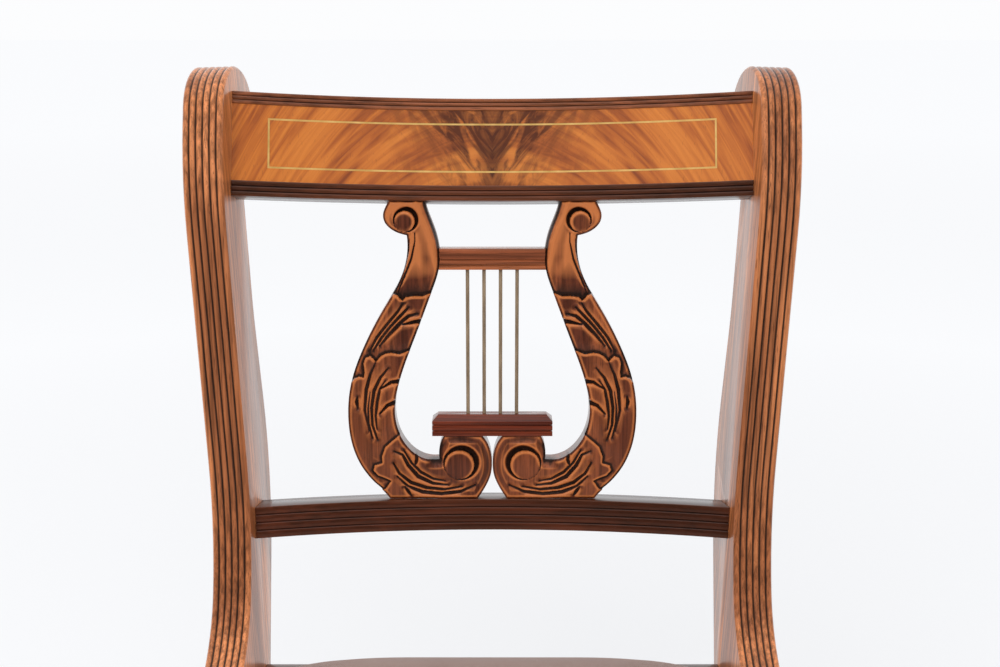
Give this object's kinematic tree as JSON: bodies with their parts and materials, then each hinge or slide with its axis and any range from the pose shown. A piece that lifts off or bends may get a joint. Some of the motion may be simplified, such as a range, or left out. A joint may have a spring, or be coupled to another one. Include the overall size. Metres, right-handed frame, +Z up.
{
  "type": "lyre back dining chair",
  "caption": "Scroll-back dining chair with reeded sabre frame, carved lyre splat with brass strings, flame veneer crest and velvet slip seat.",
  "frame": {"origin": "on the floor under the centre of the chair's bounding box", "axes": "+Z up, the chair's front at -Y, its width along X"},
  "size_m": [0.505, 0.5375, 0.8847],
  "materials": {
    "mahogany": "gloss",
    "flame_veneer": "gloss",
    "brass": "satin",
    "beech": "matte",
    "jute": "matte",
    "hair_pad": "matte",
    "velvet": "matte",
    "calico": "matte"
  },
  "bodies": {
    "chair_frame": {"right_back_post": "mahogany", "left_back_post": "mahogany", "right_side_rail": "mahogany", "left_side_rail": "mahogany", "right_front_leg": "mahogany", "left_front_leg": "mahogany", "front_seat_rail": "mahogany", "rear_seat_rail": "mahogany", "crest_rail": "mahogany", "crest_top_bead": "mahogany", "crest_bottom_bead": "mahogany", "crest_veneer": "flame_veneer", "brass_inlay": "brass", "stay_rail": "mahogany", "right_lyre_arm": "mahogany", "left_lyre_arm": "mahogany", "lyre_yoke": "mahogany", "lyre_plinth": "mahogany", "lyre_string_1": "brass", "lyre_string_2": "brass", "lyre_string_3": "brass", "lyre_string_4": "brass", "right_front_corner_block": "beech", "left_front_corner_block": "beech", "right_rear_corner_block": "beech", "left_rear_corner_block": "beech", "right_seat_bearer": "beech", "left_seat_bearer": "beech"},
    "slip_seat": {"seat_front_slat": "beech", "seat_rear_slat": "beech", "seat_right_slat": "beech", "seat_left_slat": "beech", "webbing_lengthwise": "jute", "webbing_crosswise": "jute", "seat_pad": "hair_pad", "seat_cover": "velvet", "dust_cover": "calico"}
  },
  "joints": [
    {"name": "seat_lift", "type": "slide", "parent": "chair_frame", "child": "slip_seat", "axis": [0, 0, 1], "range_m": [0, 0.1]}
  ]
}
